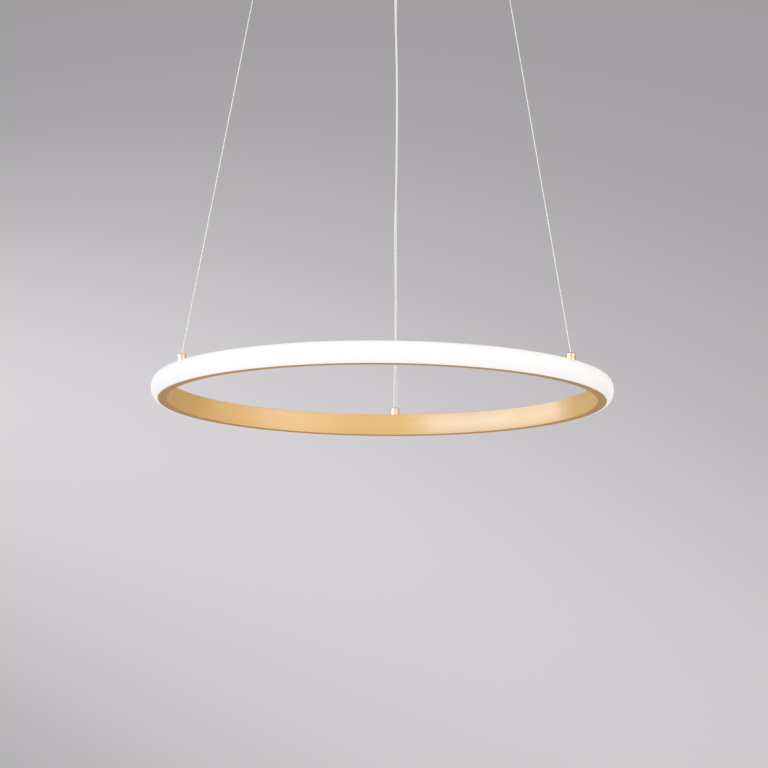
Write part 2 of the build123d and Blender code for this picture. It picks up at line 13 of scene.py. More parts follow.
import bpy
import numpy as np
from mathutils import Matrix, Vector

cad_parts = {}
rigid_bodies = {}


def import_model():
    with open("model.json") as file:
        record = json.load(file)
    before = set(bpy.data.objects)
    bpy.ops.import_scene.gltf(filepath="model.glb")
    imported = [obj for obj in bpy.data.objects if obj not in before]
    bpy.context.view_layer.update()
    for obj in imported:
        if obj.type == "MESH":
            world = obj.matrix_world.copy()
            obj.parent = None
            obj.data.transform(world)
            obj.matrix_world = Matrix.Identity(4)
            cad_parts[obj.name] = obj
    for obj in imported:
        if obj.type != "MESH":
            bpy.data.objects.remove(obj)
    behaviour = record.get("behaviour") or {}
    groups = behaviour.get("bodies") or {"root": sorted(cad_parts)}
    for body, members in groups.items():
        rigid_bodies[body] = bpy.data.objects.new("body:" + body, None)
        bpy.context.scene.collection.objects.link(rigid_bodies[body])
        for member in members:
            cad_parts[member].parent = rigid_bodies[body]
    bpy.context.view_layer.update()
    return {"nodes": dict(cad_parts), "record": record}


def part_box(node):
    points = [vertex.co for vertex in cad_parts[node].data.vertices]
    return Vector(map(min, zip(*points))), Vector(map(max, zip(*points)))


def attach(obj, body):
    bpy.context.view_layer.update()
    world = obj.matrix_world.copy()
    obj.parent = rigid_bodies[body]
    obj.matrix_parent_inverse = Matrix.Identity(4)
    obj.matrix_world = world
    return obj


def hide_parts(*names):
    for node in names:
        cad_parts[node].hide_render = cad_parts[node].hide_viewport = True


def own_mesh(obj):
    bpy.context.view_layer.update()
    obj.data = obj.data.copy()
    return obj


for leftover in list(bpy.data.objects):
    bpy.data.objects.remove(leftover)
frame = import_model()
cad_nodes = frame["nodes"]
scene = bpy.context.scene
scene.view_settings.view_transform = "Standard"

# %% [markdown]
# ## The camera
#
# The photograph looks up at the ring from a little below, from far off, through a long lens. A camera
# can be aimed by hand, or worked out from what the ring shows: the shape of its ellipse gives the tilt,
# and the difference between its near and far sides gives the distance. Working it out is exact, so
# three axes are built here: one ahead, one to the right and one up, turned so that the ring lands on
# its own pixel.

# %% The camera
photo_size = 768
focal_pixels = 4240.0
sensor_width = 36.0
farthest = 500.0
ring_underside = np.array([0.0, 0.0, -0.7325])
camera_distance = 5.5
look_up = np.radians(9.35)
camera_roll = np.radians(0.45)
ring_pixel = np.array([382.4, 401.4])


def turn_axes(first, second, angle):
    """Two axes turned in their plane: f cos a + s sin a, and s cos a - f sin a."""
    cosine, sine = np.cos(angle), np.sin(angle)
    return first * cosine + second * sine, second * cosine - first * sine


ahead = np.array([0.0, np.cos(look_up), np.sin(look_up)])
rightward = np.array([1.0, 0.0, 0.0])
upward = np.cross(rightward, ahead)
camera_place = ring_underside - camera_distance * ahead
pan, pitch = np.arctan((ring_pixel - photo_size / 2) / focal_pixels)
ahead, upward = turn_axes(ahead, upward, pitch)
rightward, ahead = turn_axes(rightward, ahead, pan)
rightward, upward = turn_axes(rightward, upward, camera_roll)
camera_axes = Matrix((rightward, upward, -ahead)).transposed()
lens = bpy.data.cameras.new("photo_camera")
lens.sensor_width = sensor_width
lens.lens = focal_pixels * sensor_width / photo_size
lens.clip_end = farthest
camera = bpy.data.objects.new("photo_camera", lens)
camera.matrix_world = Matrix.Translation(camera_place) @ camera_axes.to_4x4()
scene.collection.objects.link(camera)
scene.camera = camera
print("camera at", np.round(camera_place, 3), "lens", round(lens.lens, 1), "mm")

# %% [markdown]
# ## Smooth lines
#
# The wires and the cable follow lines in space. A line could be drawn with straight pieces between its
# points, but a NURBS spline with the points as its controls bends as smoothly as a real cable. Blender
# draws the spline, and its points are read back.

# %% Smooth lines
spline_order = 3
spline_steps = 48


def smooth_line(points):
    """Points read from a quadratic NURBS spline that has the route's points as its control points."""
    curve = bpy.data.curves.new("route", "CURVE")
    curve.dimensions = "3D"
    curve.resolution_u = spline_steps
    spline = curve.splines.new("NURBS")
    spline.points.add(len(points) - 1)
    spline.points.foreach_set("co", np.c_[points, np.ones(len(points))].ravel())
    spline.order_u = spline_order
    spline.use_endpoint_u = True
    holder = bpy.data.objects.new("route", curve)
    drawn = bpy.data.meshes.new_from_object(holder)
    line = np.empty(3 * len(drawn.vertices))
    drawn.vertices.foreach_get("co", line)
    bpy.data.objects.remove(holder)
    bpy.data.curves.remove(curve)
    bpy.data.meshes.remove(drawn)
    return line.reshape(-1, 3)


def run_of(line):
    """Length of the line up to each of its points."""
    return np.r_[0, np.cumsum(np.linalg.norm(np.diff(line, axis=0), axis=1))]


# %% [markdown]
# ## Where the wires run
#
# Each wire is clamped in a barrel, goes straight up and inwards to its gripper, and passes through it
# into the canopy. A line from end to end would bend all the way, so two more points, six diameters from
# the barrel and from the gripper, keep the taut stretch of a wire straight.

# %% Lines of the wires
stations = {"rear": 86.5, "left": 206.5, "right": 326.5}
gripper_stations = {**stations, "rear": 84.85}
fitting_r = 0.2851
gripper_r = 0.160
cap_top = -0.695
clamp_depth = 0.0069
low_bend = -0.6965
top_bend = -0.0535
gripper_bore = 0.015
spare_length = 0.018
spare_lean = 0.0004
rear_wire_side = -0.002
wire_d = 0.0012
wire_drop = top_bend - low_bend
wire_straight = top_bend + gripper_bore
taut_reach = 6 * wire_d


def spot(angle, radius, side, height):
    """Points round the lamp's axis: r (cos a, sin a) + s (-sin a, cos a), each at its height."""
    a = np.radians(angle)
    radius, side, height = np.broadcast_arrays(radius, side, height)
    x = radius * np.cos(a) - side * np.sin(a)
    y = radius * np.sin(a) + side * np.cos(a)
    return np.stack([x, y, height], -1).astype(float)


wire_lines = {}
for name, angle in stations.items():
    side = rear_wire_side if name == "rear" else 0.0
    low = spot(angle, fitting_r, side, [cap_top - clamp_depth, low_bend])
    high_r = [gripper_r, gripper_r, gripper_r - spare_lean]
    high_z = [top_bend, wire_straight, wire_straight + spare_length]
    high = spot(gripper_stations[name], high_r, 0.0, high_z)
    taut = (high[0] - low[1]) / np.linalg.norm(high[0] - low[1])
    near_ends = [low[1] + taut_reach * taut, high[0] - taut_reach * taut]
    wire_lines[name] = smooth_line(np.concatenate([low, near_ends, high]))
print("wires", [round(run_of(line)[-1], 4) for line in wire_lines.values()])

# %% [markdown]
# ## Where the cable runs
#
# The power cable carries no weight, so it hangs beside the rear wire in slow waves. A sine would be too
# regular for them. Each row of the table is one point instead: its share of the climb, and how far it
# lies to the left of the wire and inwards, in millimetres.

# %% Line of the cable
gland_r = 0.142
rear_cable_side = 0.0012
cable_d = 0.0028
cable_low_end = -0.7135
cable_rise = cap_top + 0.007
gland_mouth = -0.054
gland_bend = gland_mouth + 0.0015
cable_top = gland_mouth + 0.0114
millimetre = 0.001
cable_waves = np.array([
    (0.048, 2.9, 0.9), (0.096, 1.8, 2.4), (0.157, 0.9, 3.5), (0.221, 0.5, 4.4), (0.295, 1.3, 5.4),
    (0.367, 1.8, 6.4), (0.442, 0.2, 7.6), (0.518, -0.8, 9.0), (0.593, -1.2, 10.6), (0.659, -1.5, 12.2),
    (0.728, -0.9, 14.2), (0.796, 0.2, 16.4), (0.865, 0.9, 18.9), (0.930, 0.6, 21.0), (0.968, 0.2, 20.4),
])

share, left, inward = cable_waves.T * np.array([[1], [millimetre], [millimetre]])
wire_lean = (fitting_r - gripper_r) / wire_drop
climb = share * wire_drop
wave_r = fitting_r - climb * wire_lean - inward
rear_drift = gripper_r * np.sin(np.radians(gripper_stations["rear"] - stations["rear"]))
wave_side = left + rear_wire_side * (1 - share) + rear_drift * share
cable_line = smooth_line(np.concatenate([
    spot(stations["rear"], fitting_r, rear_cable_side, [cable_low_end, cable_rise]),
    spot(stations["rear"], wave_r, wave_side, cap_top + climb),
    spot(gripper_stations["rear"], gland_r, 0.0, [gland_bend, cable_top]),
]))
print("cable", round(run_of(cable_line)[-1], 4))

# %% [markdown]
# ## Faces on a grid of points
#
# Every new piece here is a grid of points that numpy works out at once, with a quad between each four
# neighbours. The quads close the directions that go round, and open ends get a lid. A UV map in metres,
# along the piece and across it, goes with them, because the finishes use it for brushing lines.

# %% Faces of a grid


def grid_faces(grid, round_rows, round_columns):
    """Quads between neighbours of a grid, its lids, and the UV of every corner in metres."""
    rows, columns = grid.shape[:2]
    index = np.arange(rows * columns).reshape(rows, columns)
    wide = np.pad(index, ((0, int(round_rows)), (0, int(round_columns))), mode="wrap")
    quads = np.stack([wide[:-1, :-1], wide[:-1, 1:], wide[1:, 1:], wide[1:, :-1]], -1)
    spread = np.pad(grid, ((0, int(round_rows)), (0, int(round_columns)), (0, 0)), mode="wrap")
    along = np.linalg.norm(np.diff(spread, axis=1), axis=2).max(0)
    across = np.linalg.norm(np.diff(spread, axis=0), axis=2).max(1)
    u = np.r_[0, np.cumsum(along)]
    v = np.r_[0, np.cumsum(across)]
    flat = np.stack(np.meshgrid(u, v), -1)
    corners = np.stack([flat[:-1, :-1], flat[:-1, 1:], flat[1:, 1:], flat[1:, :-1]], 2)
    lids = []
    if round_columns and not round_rows:
        lids = [index[0][::-1], index[-1]]
    if round_rows and not round_columns:
        lids = [index[:, 0], index[::-1, -1]]
    return quads.reshape(-1, 4), corners.reshape(-1, 4, 2), lids


def volume_of(points, quads):
    """Signed volume under the quads: the sum of a . (b x c) / 6 over their triangles."""
    a, b, c, d = (points[quads[:, k]] for k in range(4))
    return (np.cross(b, c) * a).sum() / 6 + (np.cross(c, d) * a).sum() / 6


# %% [markdown]
# ## From grids to an object
#
# One function turns such grids into a mesh. A grid can come out inside out, and Blender could recalculate
# its normals, but the sign of its volume tells it sooner: where that is negative, the faces are turned
# round. Sharp edges stay sharp and the rest is shaded smooth, as on a real piece.

# %% A skin over grids


def skin(name, grids, round_rows=False, round_columns=True, sharp=32):
    """One object from one or more grids of points, each of shape (rows, columns, 3)."""
    points, faces, uvs, start = [], [], [], 0
    for grid in grids:
        flat = grid.reshape(-1, 3)
        quads, corners, lids = grid_faces(grid, round_rows, round_columns)
        if volume_of(flat, quads) < 0:
            quads, corners, lids = quads[:, ::-1], corners[:, ::-1], [lid[::-1] for lid in lids]
        faces += (quads + start).tolist() + [(lid + start).tolist() for lid in lids]
        uvs += [corners.reshape(-1, 2)] + [np.zeros((len(lid), 2)) for lid in lids]
        points.append(flat)
        start += len(flat)
    mesh = bpy.data.meshes.new(name)
    mesh.from_pydata(np.concatenate(points), [], faces)
    mesh.uv_layers.new(name="round").data.foreach_set("uv", np.concatenate(uvs).ravel())
    mesh.shade_smooth()
    mesh.set_sharp_from_angle(angle=np.radians(sharp))
    piece = bpy.data.objects.new(name, mesh)
    scene.collection.objects.link(piece)
    print(name, "faces", len(faces))
    return piece


# %% [markdown]
# ## Strands in cross section
#
# A hanging wire is a rope of fine steel strands, laid round a core. It could be a plain tube with a
# painted pattern, but six strands have a simple outline: seen from its end, the rope's edge is six
# arcs. That outline turns as it goes along the line, once in eight millimetres, so each column of
# points follows its own strand. The cable is a smooth round tube.

# %% Outlines of the rope and the cable
rope_lay = 0.008
rope_columns = 36
cable_columns = 20


def full_turn(count):
    """Angles evenly round a circle."""
    return np.linspace(0, 2 * np.pi, count, endpoint=False)


def rope_outline(s):
    """Six strands on a circle: r = c cos p + sqrt(a^2 - c^2 sin^2 p), turned with s."""
    # Strands that touch each other and a core of their own size are a third as thick as the rope
    strand_r = wire_d / 6
    circle_r = wire_d / 3
    v = full_turn(rope_columns)
    p = (v + np.pi / 6) % (np.pi / 3) - np.pi / 6
    dip = np.maximum(strand_r**2 - (circle_r * np.sin(p)) ** 2, 0)
    return v + 2 * np.pi * s[:, None] / rope_lay, circle_r * np.cos(p) + np.sqrt(dip)


def cable_outline(s):
    """Plain circle: r = d / 2."""
    v = full_turn(cable_columns)
    return v + 0 * s[:, None], np.full(len(v), cable_d / 2)


# %% [markdown]
# ## The wires and the cable
#
# A curve's own bevel would give a tube, but the strands need an outline of their own, so it is carried
# along the line here, on two directions across it. The pieces ride with the suspension.

# %% Wires and cable
rope_rows = 1700
cable_rows = 500
wound_crease = 60


def carried(line, count, outline):
    """Outline carried along a line: p(s) + r (n cos v + b sin v), with v and r for each column."""
    run = run_of(line)
    s = np.linspace(0, run[-1], count)
    path = np.stack([np.interp(s, run, line[:, k]) for k in range(3)], -1)
    ahead = np.gradient(path, axis=0)
    ahead /= np.linalg.norm(ahead, axis=1)[:, None]
    n = np.cross(ahead, [1.0, 0.0, 0.0])
    n /= np.linalg.norm(n, axis=1)[:, None]
    b = np.cross(ahead, n)
    v, r = outline(s)
    turn = np.cos(v)[:, :, None] * n[:, None] + np.sin(v)[:, :, None] * b[:, None]
    return path, path[:, None] + r[None, :, None] * turn


def hang(name, line, count, outline):
    """Makes a hanging line's skin, which rides with the wires."""
    path, grid = carried(line, count, outline)
    piece = skin(name, [grid], sharp=wound_crease)
    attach(piece, "suspension")
    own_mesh(piece)
    return piece


wires = []
for name, line in wire_lines.items():
    wire = hang(
        f"wire_rope_{name}", line, rope_rows, rope_outline,
    )
    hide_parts(f"wire_{name}")
    wires.append(wire)
cable = hang(
    "cable_flex", cable_line, cable_rows, cable_outline,
)
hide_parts("power_cable")

# %% [markdown]
# ## Turned shapes
#
# The ring, the canopy and the small fittings are all round. In a workshop they are rolled or turned on
# a lathe, and here a profile of radius and height is turned round an axis. Real metal has no knife
# edges, so each corner of a profile can be eased: the corner is replaced by a short curve that starts
# and ends a little way from it.

# %% Profiles and turning
too_close = 1e-9


def eased(corners, steps=4, closed=False):
    """Profile whose corners (radius, height, ease) become curves (1-t)^2 s + 2t(1-t) c + t^2 e."""
    corners = np.asarray(corners, float)
    place, ease = corners[:, :2], corners[:, 2:]
    before, after = np.roll(place, 1, 0) - place, np.roll(place, -1, 0) - place
    if not closed:
        ease[0] = ease[-1] = 0
    start = place + before / np.linalg.norm(before, axis=1)[:, None] * ease
    end = place + after / np.linalg.norm(after, axis=1)[:, None] * ease
    t = np.linspace(0, 1, steps + 1)[None, :, None]
    bends = (1 - t) ** 2 * start[:, None] + 2 * t * (1 - t) * place[:, None] + t**2 * end[:, None]
    line = bends.reshape(-1, 2)
    apart = np.linalg.norm(line - np.roll(line, 1, 0), axis=1) > too_close
    return line[apart]


def turned(profile, angles, middle=(0, 0, 0), axis=(0, 0, 1), flute=None):
    """Profile turned round an axis: m + h k + r (cos a e + sin a f), with r fluted if asked."""
    k = np.asarray(axis, float)
    upright = abs(k[2]) > 0.5
    e = np.array([1.0, 0, 0]) if upright else np.array([0, 0, 1.0])
    f = np.cross(k, e)
    r, h = profile[:, 0][:, None, None], profile[:, 1][:, None, None]
    if flute is not None:
        r = r * flute[:, :, None]
    a = np.asarray(angles)[None, :, None]
    return np.asarray(middle, float) + h * k + r * (np.cos(a) * e + np.sin(a) * f)


def place_piece(piece, body, slot, *replaced):
    """Says which body a piece moves with and which CAD nodes it stands for; its slot is not used."""
    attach(piece, body)
    if replaced:
        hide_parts(*replaced)
    return piece


# %% [markdown]
# ## The ring
#
# The gold channel is a U profile that opens outwards, rolled into a ring, so its two ends meet in one
# fine butt joint. A closed ring would lose that joint, so it is turned through a little less than a
# full circle, with an end face on each side of it.

# %% Channel
ring_inner = 0.2792
ring_outer = 0.2910
ring_low = -0.7325
ring_top = -0.7045
ring_middle = (ring_low + ring_top) / 2
ring_columns = 900
web = 0.0012
flange = 0.0014
seam = np.radians(31.0)
seam_gap = 0.00025 / ring_inner
edge = 0.0003

channel_profile = eased([
    (ring_inner, ring_low, edge),
    (ring_outer, ring_low, edge / 2),
    (ring_outer, ring_low + flange, edge / 2),
    (ring_inner + web, ring_low + flange, edge),
    (ring_inner + web, ring_top - flange, edge),
    (ring_outer, ring_top - flange, edge / 2),
    (ring_outer, ring_top, edge / 2),
    (ring_inner, ring_top, edge),
], closed=True)
channel_turn = seam + np.linspace(seam_gap / 2, 2 * np.pi - seam_gap / 2, ring_columns + 1)
channel_grid = turned(channel_profile, channel_turn)
channel = skin("gold_channel_ring", [channel_grid], round_rows=True, round_columns=False)
place_piece(channel, "ring", "gold_channel", "ring_channel")

# %% [markdown]
# ## The diffuser
#
# The opal diffuser is extruded as one long D profile and bent round the channel. A torus would be a
# quick stand-in, but it is too round and it is solid. Here half an ellipse makes the outside and a
# smaller one the inside, and two legs hold the shell behind the channel's flanges. It goes all the way
# round.

# %% Diffuser
shell_gap = 0.0001
bulge = 0.0089
half_height = 0.014
wall = 0.0014
leg_outer = 0.0125
leg_inner = 0.0115
leg_depth = 0.0014
outside_points = 49
inside_points = 31

shell_r = ring_outer + shell_gap
leg_r = ring_outer - leg_depth
inner_bulge = bulge - wall
inner_half = half_height - wall
sweep_out = np.linspace(-np.pi / 2, np.pi / 2, outside_points)[:, None]
outside = np.hstack([shell_r + bulge * np.cos(sweep_out), half_height * np.sin(sweep_out)])
reach = np.arcsin(leg_inner / inner_half)
sweep_back = np.linspace(reach, -reach, inside_points)[:, None]
inside = np.hstack([shell_r + inner_bulge * np.cos(sweep_back), inner_half * np.sin(sweep_back)])
upper_leg = np.array([(shell_r, leg_outer), (leg_r, leg_outer), (leg_r, leg_inner)])
lower_leg = upper_leg[::-1] * [1, -1]
diffuser_profile = np.concatenate([outside, upper_leg, inside, lower_leg]) + [0, ring_middle]
diffuser_grid = turned(diffuser_profile, full_turn(ring_columns))
diffuser = skin("opal_diffuser_ring", [diffuser_grid], round_rows=True)
place_piece(diffuser, "ring", "opal", "diffuser")

# %% [markdown]
# ## The canopy
#
# The canopy is a flat pressed cup that hides the driver against the ceiling. A cylinder with a wall
# would have a hard edge. This profile runs from the middle of the outer face over the rounded edge, up
# the wall, over the rim, and back down inside. Two short bosses carry the driver's ears.

# %% Canopy cup
canopy_r = 0.180
canopy_floor = -0.030
canopy_columns = 360
sheet = 0.0012
edge_r = 0.006
rim_start = -0.004
centre_r = 0.001
corner_points = 13
face_points = 40
corner = np.linspace(-np.pi / 2, 0, corner_points)[:, None]
round_edge = np.hstack([np.cos(corner), np.sin(corner)])
edge_middle = [canopy_r - edge_r, canopy_floor + edge_r]
outer_edge = round_edge * edge_r + edge_middle
inner_edge = round_edge[::-1] * (edge_r - sheet) + edge_middle
rim = eased([
    (canopy_r, rim_start, 0),
    (canopy_r, 0.0, sheet / 3),
    (canopy_r - sheet, 0.0, sheet / 3),
    (canopy_r - sheet, rim_start, 0),
])
face_steps = np.linspace(centre_r, canopy_r - edge_r, face_points)[:-1, None]
outer_face = np.hstack([face_steps, np.full_like(face_steps, canopy_floor)])
inner_face = (outer_face + [0, sheet])[::-1]
cup_profile = np.concatenate([outer_face, outer_edge, rim, inner_edge, inner_face])

boss_bore = 0.0016
boss_r = 0.0035
boss_height = 0.003
boss_x = 0.0665
boss_y = -0.050
boss_columns = 40
boss_profile = eased([
    (boss_bore, 0.0, 0),
    (boss_bore, boss_height, 0),
    (boss_r, boss_height, edge),
    (boss_r, 0.0, 0),
])
boss_places = [(x, boss_y, canopy_floor + sheet) for x in (-boss_x, boss_x)]
bosses = [turned(boss_profile, full_turn(boss_columns), place) for place in boss_places]
canopy = skin("canopy_gold_cup", [turned(cup_profile, full_turn(canopy_columns))] + bosses)
place_piece(canopy, "canopy", "gold_canopy", "canopy_cup")

# %% [markdown]
# ## The cable's boot
#
# Where the cable leaves the gland, a soft boot keeps it from kinking: a cone with grooves that let it
# bend. The grooves could be cut out of the cone, but here they are part of its profile: the radius
# falls evenly, and the raised half of a sine, squared, takes a little more away.

# %% Boot
boot_top = -0.041
boot_length = 0.013
boot_r = 0.0035
boot_taper = 0.0009
groove_depth = 0.00035
groove_waves = 4.5
groove_start = 0.6
boot_bore_r = 0.0019
boot_lip = 0.001
boot_points = 53
boot_columns = 48

boot_drop = np.linspace(0, 1, boot_points)
grooves = np.clip(np.sin(2 * np.pi * groove_waves * boot_drop - groove_start), 0, 1) ** 2
boot_radius = boot_r - boot_taper * boot_drop - groove_depth * grooves
boot_outside = np.stack([boot_radius, boot_top - boot_length * boot_drop], -1)
boot_bore = np.array([(boot_bore_r, boot_top - boot_length), (boot_bore_r, boot_top - boot_lip)])
boot_profile = np.concatenate([boot_outside, boot_bore])
boot_middle = spot(gripper_stations["rear"], gland_r, 0.0, 0.0)
boot = skin("cable_boot_grooved", [turned(boot_profile, full_turn(boot_columns), boot_middle)])
place_piece(boot, "canopy", "boot_rubber", "cable_boot")

# %% [markdown]
# ## The thumb screws
#
# Two thumb screws hold the canopy to its bracket, with fluted heads for the fingers. Cutting each flute
# would take many steps. Instead the radius of the head changes with the angle as 1 + d (cos(n a) - 1),
# which gives a row of small flutes.

# %% Thumb screws
screw_z = -0.010
shank_r = 0.002
shank_end = -0.009
head_r = 0.004
head_start = 0.0001
head_end = 0.0046
head_edge = 0.0006
head_centre_r = 0.0005
flutes_from_r = 0.0036
flute_count = 24
flute_depth = 0.035
screw_columns = 144

head_profile = eased([
    (shank_r, shank_end, 0),
    (shank_r, head_start, 0),
    (head_r, head_start, edge),
    (head_r, head_end, head_edge),
    (head_centre_r, head_end, 0),
])
screw_turn = full_turn(screw_columns)
flutes = flute_depth * np.cos(flute_count * screw_turn)[None] - flute_depth
fluted = (head_profile[:, 0] > flutes_from_r)[:, None] * flutes + 1
thumb_screws = skin("thumb_screws", [
    turned(head_profile, screw_turn, (side * canopy_r, 0, screw_z), (side, 0, 0), fluted)
    for side in (-1, 1)
])
place_piece(thumb_screws, "canopy", "gold_brass", "side_screws")

# %% [markdown]
# ## The grippers' springs
#
# In each gripper a coil spring presses the plunger down, and a push on the plunger shortens it. The CAD
# model has a plain sleeve there, which can't be shortened without looking wrong, so a real coil is
# wound here: a round wire on a helix.

# %% Coil springs
coil_turns = 6
coil_rows = 36 * coil_turns + 1
coil_columns = 10
coil_wire_r = 0.0004


def coil(low, high):
    """Wire on a helix: m + R e + h a k + w (cos v e + sin v (e x t)), e outwards and t ahead."""
    a = np.linspace(0, 2 * np.pi * coil_turns, coil_rows)
    radius = (high[0] - low[0]) / 2 - coil_wire_r
    pitch = (high[2] - low[2] - 2 * coil_wire_r) / a[-1]
    outward = np.stack([np.cos(a), np.sin(a), 0 * a], -1)
    ahead = np.stack([-radius * np.sin(a), radius * np.cos(a), 0 * a + pitch], -1)
    ahead /= np.linalg.norm(ahead, axis=1)[:, None]
    beside = np.cross(outward, ahead)
    start = np.array([(low[0] + high[0]) / 2, (low[1] + high[1]) / 2, low[2] + coil_wire_r])
    path = start + radius * outward + pitch * a[:, None] * [0, 0, 1]
    v = full_turn(coil_columns)[None, :, None]
    return path[:, None] + coil_wire_r * (np.cos(v) * outward[:, None] + np.sin(v) * beside[:, None])


springs = []
for name in stations:
    low, high = (np.array(end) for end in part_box(f"gripper_spring_{name}"))
    spring = skin(f"coil_spring_{name}", [coil(low, high)], sharp=wound_crease)
    place_piece(spring, "canopy", "bearing_steel", f"gripper_spring_{name}")
    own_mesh(spring)
    springs.append(spring)

# %% [markdown]
# ## Shared effects
#
# Brushed metal, handled metal and moulded plastic each have a fine pattern that only shows in the
# light. It could be painted as pictures, but noise in shader nodes has no pixels and no seams. Three
# groups are made once and used by many finishes: brushing lines, soft smudges and fine grain. Each puts
# out one changing value.

# %% The three effects


def put(tree, kind, settings=None, inputs=None):
    """New shader node. Settings are its own options; an input is a value or another node's output."""
    node = tree.nodes.new("ShaderNode" + kind)
    for key, value in (settings or {}).items():
        setattr(node, key, value)
    for key, value in (inputs or {}).items():
        if isinstance(value, bpy.types.NodeSocket):
            tree.links.new(value, node.inputs[key])
        else:
            node.inputs[key].default_value = value
    return node


def effect(name, inputs, output, noise_detail, noise_roughness):
    """Group that stretches a place by a vector and reads noise there: f(p) = noise(p * stretch)."""
    group = bpy.data.node_groups.new(name, "ShaderNodeTree")
    for socket, kind in inputs.items():
        group.interface.new_socket(socket, in_out="INPUT", socket_type=kind)
    group.interface.new_socket(output, in_out="OUTPUT", socket_type="NodeSocketFloat")
    source = group.nodes.new("NodeGroupInput")
    sink = group.nodes.new("NodeGroupOutput")
    place, stretch = source.outputs[0], source.outputs[1]
    scaled = put(group, "VectorMath", {"operation": "MULTIPLY"}, {0: place, 1: stretch})
    noise = put(group, "TexNoise", None, {
        "Vector": scaled.outputs[0], "Scale": 1.0, "Detail": noise_detail, "Roughness": noise_roughness,
    })
    group.links.new(noise.outputs["Fac"], sink.inputs[0])
    return group


sockets = {"Place": "NodeSocketVector", "Stretch": "NodeSocketVector"}
brushing = effect("brushing_lines", sockets, "Lines", 4.0, 0.65)
smudges = effect("soft_smudges", sockets, "Amount", 3.0, 0.5)
grain = effect("fine_grain", sockets, "Height", 2.0, 0.5)
print("effects:", [group.name for group in (brushing, smudges, grain)])

# %% [markdown]
# ## How a finish starts
#
# Every finish is a Principled shader with plain values, to which an effect adds a change of colour, of
# roughness or of height. Each could be wired by hand, but four small helpers keep them alike: they start
# a finish, place an effect in it, turn the effect into a value about a middle, and make a bump of it.

# %% Helpers for finishes


def start_finish(name, **values):
    """Material with a Principled shader whose plain values are set on its own sockets."""
    material = bpy.data.materials.new(name)
    material.use_nodes = True
    shader = material.node_tree.nodes["Principled BSDF"]
    for key, value in values.items():
        socket = shader.inputs[key.replace("_", " ")]
        socket.default_value = (*value, 1.0) if isinstance(value, tuple) else value
    return material, material.node_tree, shader


def use_effect(tree, group, place, stretch):
    """Places a shared effect in a material and gives back its value."""
    node = put(tree, "Group", {"node_tree": group}, {"Place": place})
    node.inputs["Stretch"].default_value = stretch
    return node.outputs[0]


def varied(tree, value, middle, swing):
    """Turns a noise value, which is about 0.5, into middle + swing (value - 0.5) * 2."""
    node = put(tree, "Math", {"operation": "MULTIPLY_ADD"}, {0: value, 1: 2 * swing, 2: middle - swing})
    return node.outputs[0]


def bumped(tree, shader, height, distance, strength=1.0):
    """Lets a height change the shader's normal."""
    bump = put(tree, "Bump", None, {"Height": height, "Distance": distance, "Strength": strength})
    tree.links.new(bump.outputs["Normal"], shader.inputs["Normal"])


# %% [markdown]
# ## Gold
#
# The channel is anodised aluminium, brushed along the ring and satin to the touch. Under the light it
# shows two things at once: a warm gold that hardly changes round the ring, and a pale sheen where a soft
# box is mirrored. One layer can't give both, so the metal below is rough and gold, and a clear coat over
# it is smoother and white. Brushing lines change the colour and the roughness a little and cut a very
# shallow bump. On pieces made here they follow the UV map, and on the small turned fittings they are
# fine rings in Object coordinates.

# %% Gold finishes
low_angle_gold = (0.84, 0.60, 0.30)
coat_roughness = 0.31
coat_ior = 2.3
handling_marks = (14.0, 14.0, 14.0)
handling_swing = 0.04
brushing_swing = 0.06


def toned(colour, share):
    """Colour made lighter or darker by a share, as four numbers."""
    return (*(min(part * share, 1.0) for part in colour), 1.0)


def gold(name, colour, roughness, on_uv, fine, broad, tone, coat, depth=0.000004):
    """Satin gold: broad lines tint it, fine ones vary its roughness and bump, and it is coated."""
    material, tree, shader = start_finish(
        name,
        Metallic=1.0,
        Specular_Tint=low_angle_gold,
        Coat_Weight=coat,
        Coat_Roughness=coat_roughness,
        Coat_IOR=coat_ior,
    )
    source = put(tree, "TexCoord")
    place = source.outputs["UV" if on_uv else "Object"]
    fine_lines = use_effect(tree, brushing, place, fine)
    broad_lines = use_effect(tree, brushing, place, broad)
    tint = put(tree, "Mix", {"data_type": "RGBA"}, {
        "Factor": broad_lines, 6: toned(colour, 1 - tone), 7: toned(colour, 1 + tone),
    })
    tree.links.new(tint.outputs[2], shader.inputs["Base Color"])
    smudge = use_effect(tree, smudges, source.outputs["Object"], handling_marks)
    worn = varied(tree, smudge, roughness, handling_swing)
    lined = varied(tree, fine_lines, 0.0, brushing_swing)
    satin = put(tree, "Math", {"operation": "ADD", "use_clamp": True}, {0: worn, 1: lined})
    tree.links.new(satin.outputs[0], shader.inputs["Roughness"])
    bumped(tree, shader, fine_lines, depth)
    return material


channel_gold = (0.90, 0.565, 0.10)
canopy_gold = (0.88, 0.61, 0.18)
barrel_gold = (0.71, 0.53, 0.32)
pale_brass = (0.80, 0.56, 0.24)
brass_lines = {"fine": (60.0, 60.0, 3000.0), "broad": (30.0, 30.0, 700.0)}
sheet_lines = {"fine": (14.0, 5200.0, 1.0), "broad": (6.0, 900.0, 1.0)}
finishes = {
    "gold_channel": gold("gold_channel", channel_gold, 0.74, True, tone=0.16, coat=1.0, **sheet_lines),
    "gold_canopy": gold("gold_canopy", canopy_gold, 0.68, True, tone=0.08, coat=0.9, **sheet_lines),
    "gold_brass": gold("gold_brass", barrel_gold, 0.34, False, tone=0.06, coat=0.1, **brass_lines),
    "plain_brass": gold("plain_brass", pale_brass, 0.30, False, tone=0.06, coat=0.0, **brass_lines),
}
print("gold finishes:", list(finishes))
